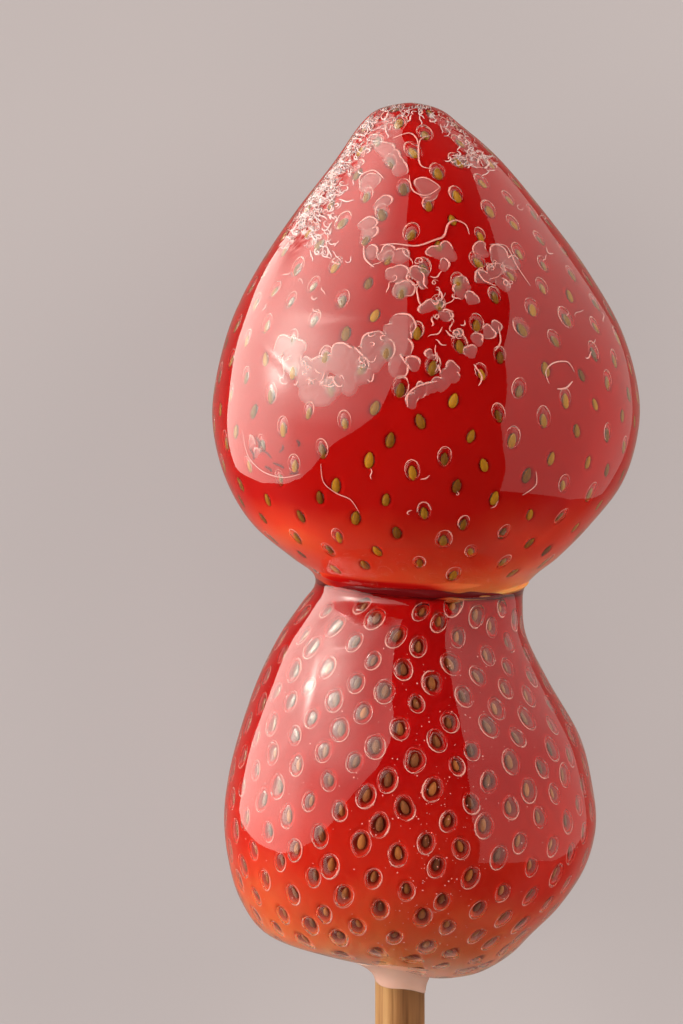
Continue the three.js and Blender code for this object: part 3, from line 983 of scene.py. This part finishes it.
def strand_highlights():
    """The longer bright lines where a fold of the shell touches down, painted highlights in milky sugar.
    """
    paths = [
        [(-0.8, 3.6), (0.7, 3.1), (1.4, 3.6), (1.5, 4.2)],
        [(2.8, 3.3), (1.9, 3.6), (1.6, 4.3), (1.6, 5.7), (1.9, 6.3), (2.7, 6.5)],
        [(-2.0, 13.6), (-0.7, 13.5), (1.3, 13.7), (2.8, 13.2), (3.7, 12.8), (4.1, 11.7), (4.8, 11.3),
         (5.7, 11.7), (6.0, 12.6)],
        [(0.4, 28.1), (0.4, 27.0), (1.4, 26.2), (3.0, 25.8)],
        [(6.2, 24.3), (6.9, 25.4), (6.6, 26.2)],
        [(8.4, 20.9), (8.6, 22.2), (8.1, 23.1)],
        [(6.6, 15.9), (7.2, 16.8), (8.3, 17.3)],
        [(-14.2, 30.0), (-13.7, 32.2), (-12.4, 33.6), (-10.6, 34.2), (-9.0, 33.9)],
        [(-3.7, 8.3), (-3.7, 7.1), (-2.5, 6.6), (-1.6, 7.4)],
        [(0.7, 7.1), (1.0, 8.5), (2.2, 9.0), (3.4, 8.3)],
        [(12.9, 26.0), (12.6, 24.9), (13.3, 24.1), (14.6, 24.0), (15.2, 24.9)],
        [(13.6, 26.4), (14.4, 26.3), (15.0, 25.7)],
        [(-7.2, 33.0), (-7.0, 34.6), (-5.9, 35.6), (-4.6, 36.2), (-3.8, 37.4)],
        [(11.7, 33.7), (11.7, 34.9), (10.5, 35.8)],
        [(7.8, 13.5), (9.3, 13.6), (10.2, 15.4), (11.4, 17.2)],
        [(-3.4, 13.6), (-3.3, 14.8), (-2.5, 15.6)],
    ]
    across, down = smooth_lines(paths, 48)
    thick = 0.085 * MM * (0.6 + 0.6 * scatter(np.arange(len(paths)), 14))
    return threads("strand_highlights", across, down, thick, 0.12 * MM)


def curls(name, seed, thin, growth, places):
    """Short curling lines inside the shell, strewn along paths of (across, down) millimetres:
    each heads anywhere and bends evenly. A place gives its path, how many lines it has, how far
    they stray from it and their least and greatest length."""
    rng = np.random.default_rng(seed)
    steps = np.linspace(0, 1, 12)
    lines = []
    for path, count, spread, lengths in places:
        start = strewn(rng, path, count, spread)[..., None] * MM
        heading, bend, reach = (rng.uniform(low, high, (count, 1))
                                for low, high in ((0, 2 * np.pi), (-5, 5), lengths))
        turn = heading + bend * reach * steps + 0.6 * np.sin(6 * steps + heading)
        way = np.cumsum(np.stack([np.cos(turn), np.sin(turn)]), axis=-1)
        lines.append(start + way * (reach / len(steps) * MM))
    across, down = np.concatenate(lines, axis=1)
    thick = (thin + growth * rng.random(len(across)) ** 2) * MM
    return threads(name, across, down, thick, 0.13 * MM)


def dark_dashes():
    """Short dark folds low on the upper berry's left, where juice crept under the shell."""
    paths = [
        [(-13.0, 30.6), (-12.7, 31.6)], [(-12.5, 31.7), (-11.6, 32.5)], [(-11.5, 32.9), (-10.5, 33.4)],
        [(-10.6, 31.3), (-10.9, 32.0)], [(-9.4, 30.9), (-9.2, 31.5)], [(-13.6, 31.6), (-13.2, 32.6)],
        [(-12.2, 33.2), (-11.6, 33.7)], [(-10.0, 33.9), (-9.2, 33.7)],
    ]
    bent = [[a, ((a[0] + b[0]) / 2 + 0.15, (a[1] + b[1]) / 2), b] for a, b in paths]
    across, down = smooth_lines(bent, 14)
    thick = 0.13 * MM * (0.6 + 0.7 * scatter(np.arange(len(paths)), 15))
    return threads("dark_dashes", across, down, thick, 0.03 * MM)


def specks():
    """Pinhead bubbles in the lower shell, more of them down its middle."""
    rng = np.random.default_rng(19)
    count = 420
    in_middle = rng.random(count) < 0.55
    across = np.where(in_middle, rng.normal(3.0, 3.0, count), rng.uniform(-14, 16, count)) * MM
    down = rng.uniform(49, 77, count) * MM
    share, angle = front_place(LOWER, across, down)
    shape, faces = round_shape([1, 0.5, -0.5, -1], [0.87, 0.87], 6)
    size = (0.035 + 0.05 * rng.random(count) ** 3) * MM
    centres = surface(LOWER, share, angle, -SUGAR * rng.uniform(0.3, 0.8, count))
    return joined_object("specks", centres[:, None] + size[:, None, None] * shape, faces)


def dark_juice_and_shade():
    """Thick strawberry juice, nearly opaque; in the groove ring it is also painted shade."""
    return new_material("dark_juice_and_shade", {"Base Color": (0.11, 0.003, 0.004, 1), "Roughness": 0.2})[0]


outlines = blister_rim_highlights()
folds = strand_highlights()
frost_and_highlights = curls("crinkle_highlights", 23, 0.040, 0.065, [
    ([(-1.5, 0.9), (-4.5, 3.2), (-7.2, 7.2), (-9.4, 12.0)], 250, 1.2, (0.6, 1.9)),
    ([(-4.0, 5.0), (-6.0, 8.5), (-7.5, 12.5), (-6.0, 14.0)], 80, 1.3, (0.7, 1.9)),
    ([(-1.0, 0.7), (2.0, 0.7), (5.5, 2.4), (8.5, 6.2)], 100, 0.6, (0.4, 1.3)),
    ([(4.6, 5.2), (6.6, 5.6)], 26, 0.8, (0.5, 1.4)),
])
stray = curls("loose_curl_highlights", 5, 0.045, 0.050, [
    ([(-0.5, 15.0), (2.8, 16.5), (4.0, 20.0), (3.6, 23.5)], 34, 1.7, (0.9, 2.4)),
    ([(7.5, 15.0), (9.5, 16.5)], 9, 1.2, (0.8, 1.8)),
    ([(-12.0, 22.5), (-9.0, 25.5), (-4.0, 25.0), (-1.5, 21.5)], 26, 0.9, (0.7, 2.0)),
    ([(12.0, 9.0), (16.0, 17.0), (16.0, 24.0)], 9, 2.4, (0.7, 1.6)),
    ([(-7.0, 15.0), (-11.0, 19.0)], 8, 2.2, (0.7, 1.5)),
    ([(-2.0, 34.5), (8.0, 37.0)], 5, 2.0, (0.8, 1.6)),
])
dashes = dark_dashes()
pinheads = specks()
# painted highlights: these milky lines stand for light caught by the shell's edges and crinkles; the
# pinhead bubbles share the line sugar
line_highlight_and_bubble_sugar = milky_sugar_and_highlight("blister_highlight_and_bubble_sugar", (0.62, 0.29, 0.26))
frost_and_highlight_sugar = milky_sugar_and_highlight("frost_and_highlight_sugar", (0.70, 0.44, 0.42))
dark_sap_and_shade = dark_juice_and_shade()
for piece, material, node in ((outlines, line_highlight_and_bubble_sugar, "upper_strawberry"),
                              (folds, line_highlight_and_bubble_sugar, "upper_strawberry"),
                              (frost_and_highlights, frost_and_highlight_sugar, "upper_strawberry"),
                              (stray, line_highlight_and_bubble_sugar, "upper_strawberry"),
                              (dashes, dark_sap_and_shade, "upper_strawberry"),
                              (pinheads, line_highlight_and_bubble_sugar, "lower_strawberry")):
    piece.data.materials.append(material)
    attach(piece, "root")
    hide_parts(node)

# ----------------------------------------------------------
# Juice ring. Dark juice that ran into the groove between the berries before the sugar set round
# it, thickest at the left of the side shown; its darkness is partly painted shade in the groove.


def juice_and_shade_ring():
    """A tube round the neck whose thickness and height change with the angle."""
    turn = np.linspace(0, 2 * np.pi, 160, endpoint=False)[:, None]
    section = np.linspace(0, 2 * np.pi, 14, endpoint=False)
    side = 0.5 + 0.5 * np.cos(turn - 2.1)
    thick = (0.05 + 0.66 * side + 0.05 * np.sin(9 * turn) + 0.03 * np.sin(17 * turn + 1)) * MM
    thick = thick * (1 + 0.12 * np.sin(5 * section + 7 * turn))
    reach = (8.35 + 0.5 * side) * MM + thick * np.cos(section)
    down = (43.75 + 0.82 * np.sin(turn) + 0.45 * np.cos(turn) - 0.7 * side) * MM
    points = np.stack([
        STICK_X + 2.2 * MM + reach * np.cos(turn),
        TIP_Y - down - 1.3 * thick * np.sin(section),
        STICK_Z + 1.02 * reach * np.sin(turn),
    ], axis=-1)
    faces = grid_cells(*points.shape[:2], open_rows=False, flip=True)
    return mesh_object("juice_and_shade_ring", points, faces)


# painted shade, with juice: a dark ring in the groove between the berries
juice = juice_and_shade_ring()
juice.data.materials.append(dark_sap_and_shade)
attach(juice, "root")
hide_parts("upper_strawberry", "lower_strawberry")

# ----------------------------------------------------------
# Collar. Milky sugar that crept down the stick and set as a flared sleeve under the lower berry,
# longer on the right.


def stick_collar():
    """A profile that flares towards the berry, turned round the stick, its length and flare
    changing with the angle."""
    along = np.linspace(0, 1, 24)[:, None]
    angle = np.linspace(0, 2 * np.pi, 64, endpoint=False)
    reach = (2.2 + 0.5 * np.cos(angle - 0.3) + 0.15 * np.sin(3 * angle + 1)) * MM
    flare = (1.7 + 0.3 * np.cos(angle - 2)) * MM * (1 - along) ** 2.2
    radius = 2.30 * MM + flare + 0.10 * MM * np.sqrt(1 - along**2)
    points = np.stack([
        STICK_X + radius * np.cos(angle),
        TIP_Y - 78.0 * MM - along * reach,
        STICK_Z + radius * np.sin(angle),
    ], axis=-1)
    ends = [[STICK_X, TIP_Y - 77.0 * MM, STICK_Z], [STICK_X, TIP_Y - 79.0 * MM, STICK_Z]]
    return grid_object("stick_collar", points, ends)


collar = stick_collar()
collar.data.materials.append(milky_sugar_and_highlight("collar_sugar", (0.58, 0.35, 0.27)))
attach(collar, "root")
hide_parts("lower_strawberry")

# ----------------------------------------------------------
# Camera and table. The camera looks straight down on the side shown, from far enough that the
# skewer fills the picture as in the photograph; the table is a plain pale surface under it.
PICTURE = (683, 1024)
PIXELS_PER_MM = 11
STICK_PIXEL_X = 400
TIP_PIXEL_Y = 103
CAMERA_DISTANCE = 360 * MM
TABLE_SIZE = 0.8

view_height = PICTURE[1] / PIXELS_PER_MM * MM
centre_x = STICK_X + (PICTURE[0] / 2 - STICK_PIXEL_X) / PIXELS_PER_MM * MM
centre_y = TIP_Y - (PICTURE[1] / 2 - TIP_PIXEL_Y) / PIXELS_PER_MM * MM
lens = bpy.data.cameras.new("camera")
lens.sensor_fit = "VERTICAL"
lens.sensor_height = 36
lens.lens = lens.sensor_height * CAMERA_DISTANCE / view_height
lens.clip_start = 0.01
camera = bpy.data.objects.new("camera", lens)
camera.location = (centre_x, centre_y, STICK_Z + CAMERA_DISTANCE)
bpy.context.scene.collection.objects.link(camera)
bpy.context.scene.camera = camera


def table_paint():
    """Pale paint, a little cloudy, which glows as evenly as the photograph's background."""
    material, tree, shader = new_material("table_paint", {
        "Emission Strength": 1.0, "Base Color": (0.115, 0.10, 0.095, 1), "Roughness": 0.8,
        "Specular IOR Level": 0.0,
    })
    cloud = noise(tree, add_node(tree, "TexCoord")["Object"], 9)
    tones = [(0.3, (0.383, 0.336, 0.326)), (0.7, (0.410, 0.364, 0.354))]
    fill(shader, {"Emission Color": colour_ramp(tree, cloud, tones)})
    return material


table = mesh_object("table", [(-TABLE_SIZE, -TABLE_SIZE, 0), (TABLE_SIZE, -TABLE_SIZE, 0),
                              (TABLE_SIZE, TABLE_SIZE, 0), (-TABLE_SIZE, TABLE_SIZE, 0)],
                    [[0, 1, 2, 3]], smooth=False)
table.data.materials.append(table_paint())
table.visible_glossy = False

# ----------------------------------------------------------
# Light. Two large cloths, one on each side of the lens, show as reflections in the sugar, and a
# low wall of light shows through it; four soft lamps that don't show light the fruit.
SOFTBOX_RADIUS = 150 * MM
SOFTBOX_AXIS_X = STICK_X + 2 * MM
SOFTBOX_GRID = 90
BERRIES = np.array((STICK_X + 2 * MM, TIP_Y - 38 * MM, STICK_Z))
WALL_SIDES = 72
WALL_RADIUS = 0.22


def softbox_glow():
    """Warm white light from a cloth's front, as strong as each of its points says."""
    material = bpy.data.materials.new("softbox_glow")
    tree = empty_tree(material)
    inputs = {"Color": (1.0, 0.97, 0.87, 1), "Strength": stored(tree, "strength")}
    add_node(tree, "OutputMaterial", {0: add_node(tree, "Emission", inputs)[0]})
    return material


def glowing_sheet(name, points, faces, strength, unseen):
    """A sheet of light that some kinds of ray don't see."""
    sheet = mesh_object(name, points, faces, smooth=False)
    add_attribute(sheet, "strength", strength.ravel())
    sheet.data.materials.append(cloth_glow)
    for kind in unseen:
        setattr(sheet, "visible_" + kind, False)


def softbox(name, near_edge, far_edge, low_edge, high, strength):
    """A curved sheet round the skewer's length, seen only as a reflection. Its near and far edges
    are angles from straight up for each height, its low edge a height for each angle; heights
    are measured from the skewer's tip. strength gives the glow at an angle and a height."""
    even = np.linspace(0, 1, SOFTBOX_GRID)
    u, v = np.meshgrid(even, even**1.5, indexing="ij")
    turn = near_edge[0][1] + u * (far_edge[0][1] - near_edge[0][1])
    for _ in range(12):
        low = np.interp(np.abs(turn), *zip(*low_edge))
        height = low + v * (high - low)
        near = np.interp(height, *zip(*near_edge))
        turn = near + u * (np.interp(height, *zip(*far_edge)) - near)
    angle = np.radians(turn)
    points = np.stack([
        SOFTBOX_AXIS_X + SOFTBOX_RADIUS * np.sin(angle),
        TIP_Y + height * MM,
        STICK_Z + SOFTBOX_RADIUS * np.cos(angle),
    ], axis=-1)
    faces = grid_cells(SOFTBOX_GRID, SOFTBOX_GRID, open_columns=True)
    glowing_sheet(name, points, faces, strength(turn, height), ("camera", "diffuse", "shadow"))


def left_strength(turn, height):
    """Nearly even. The lamp behind the cloth makes a hot spot, a wide soft one and a thin streak;
    the cloth is dimmer towards its near edge, most at the low corner, and far back beyond the
    skewer's tip."""
    even = np.interp(turn, [-165, -127, -115, -90, -65, -45, -36, -28],
                     [2.0, 3.3, 3.5, 3.9, 3.2, 2.0, 1.4, 1.1])
    even = even * np.interp(height, [-78, -45, 0, 50, 110, 150], [0.58, 0.84, 1.0, 1.1, 0.95, 0.78])
    corner = np.clip((15 - height) / 30, 0, 1) * np.clip((turn + 78) / 12, 0, 1)
    back = np.clip((-108 - turn) / 16, 0, 1) * np.clip((height - 60) / 30, 0, 1)
    soft_spot = 2.7 * np.exp(-(((turn + 76) / 20) ** 2 + ((height - 76) / 28) ** 2))
    hot_spot = 10 * np.exp(-(((turn + 84) / 9) ** 2 + ((height - 38) / 17) ** 2))
    streak = 3 * np.exp(-(((turn + 70) / 18) ** 2 + ((height - 103 - turn - 70) / 5) ** 2))
    return (even + soft_spot) * (1 - 0.42 * corner) * (1 - 0.84 * back) + hot_spot + streak


def right_strength(turn, height):
    """Brightest high up, fading towards the table."""
    return np.interp(height, [-120, 0, 100], [0.48, 0.58, 0.84])


def low_light():
    """A low wall of light all round, which shows only through the sugar: it catches the rims of
    the air pockets."""
    turn = np.linspace(0, 2 * np.pi, WALL_SIDES, endpoint=False)
    wall = np.stack([
        np.stack([BERRIES[0] + WALL_RADIUS * np.cos(turn), BERRIES[1] + WALL_RADIUS * np.sin(turn),
                  np.full(WALL_SIDES, height)], axis=-1)
        for height in (0.035, 0.14)
    ])
    strength = (1.6 - 1.2 * np.cos(turn)) * np.clip(1 + 0.9 * np.sin(turn), 0.1, 1)
    glowing_sheet("low_light", wall, grid_cells(2, WALL_SIDES), np.tile(strength, 2),
                  ("camera", "diffuse", "glossy", "shadow", "volume_scatter"))


def area_light(name, azimuth, distance, rise, size, power, colour):
    """A soft square lamp that looks at the berries; it lights and doesn't show. It stands at an
    angle from straight up towards the right, at a distance and raised towards the tip."""
    turn = np.radians(azimuth)
    place = BERRIES + (distance * np.sin(turn), rise, distance * np.cos(turn))
    lamp = bpy.data.lights.new(name, "AREA")
    lamp.shape = "SQUARE"
    lamp.size = size
    lamp.energy = power
    lamp.color = colour
    light = bpy.data.objects.new(name, lamp)
    light.location = place
    light.rotation_euler = Vector(BERRIES - place).to_track_quat("-Z", "Y").to_euler()
    light.visible_glossy = False
    light.visible_transmission = False
    bpy.context.scene.collection.objects.link(light)


cloth_glow = softbox_glow()
softbox("left_softbox", [(60, -10), (100, -10.5), (200, -12), (300, -15), (520, -26)],
        [(0, -127), (30, -134), (60, -156), (120, -168)],
        [(10, 95), (14, 60), (22, 15), (34, -15), (44, -36), (54, -62), (62, -80), (72, -94),
         (85, -98), (105, -88), (123, -68), (130, -55), (160, -30)], 620, left_strength)
softbox("right_softbox", [(-150, 43), (-80, 41), (-42, 37), (0, 35), (42, 40), (89, 45), (125, 55),
                          (147, 63), (176, 70), (208, 84), (216, 100), (228, 112), (250, 118),
                          (520, 135)],
        [(-60, 132), (0, 140), (60, 144)],
        [(30, -130), (100, -125), (123, -100), (134, -80), (145, -60)], 520, right_strength)
low_light()
area_light("left_lamp", -70, 0.60, 0.10, 0.45, 6.4, (1.0, 0.96, 0.92))
area_light("right_lamp", 60, 0.48, 0.17, 0.35, 3.1, (1.0, 0.95, 0.88))
area_light("foot_lamp", -8, 0.35, -0.45, 0.35, 1.6, (1.0, 0.95, 0.90))
area_light("top_lamp", -5, 0.60, -0.10, 0.30, 0.45, (1.0, 1.0, 1.0))

# ----------------------------------------------------------
# Room. A dim room that is warm below and darker above, which the sugar reflects; where the camera
# looks past the table it sees a plain pale backdrop.
world = bpy.data.worlds.new("studio")
bpy.context.scene.world = world
room = empty_tree(world)
up = add_node(room, "SeparateXYZ", {0: add_node(room, "TexCoord")["Generated"]})["Z"]
walls = colour_ramp(room, arithmetic(room, "MULTIPLY_ADD", up, 0.5, 0.5), [
    (0.0, (0.34, 0.23, 0.19)), (0.09, (0.27, 0.18, 0.15)), (0.20, (0.06, 0.05, 0.045)),
    (0.44, (0.13, 0.11, 0.10)), (0.62, (0.012, 0.011, 0.010))])
backdrop = add_node(room, "Background", {"Color": (0.50, 0.435, 0.415, 1)})[0]
seen = add_node(room, "MixShader", {
    0: add_node(room, "LightPath")["Is Camera Ray"],
    1: add_node(room, "Background", {"Color": walls})[0], 2: backdrop,
})[0]
add_node(room, "OutputWorld", {0: seen})
bpy.context.scene.view_settings.view_transform = "Standard"
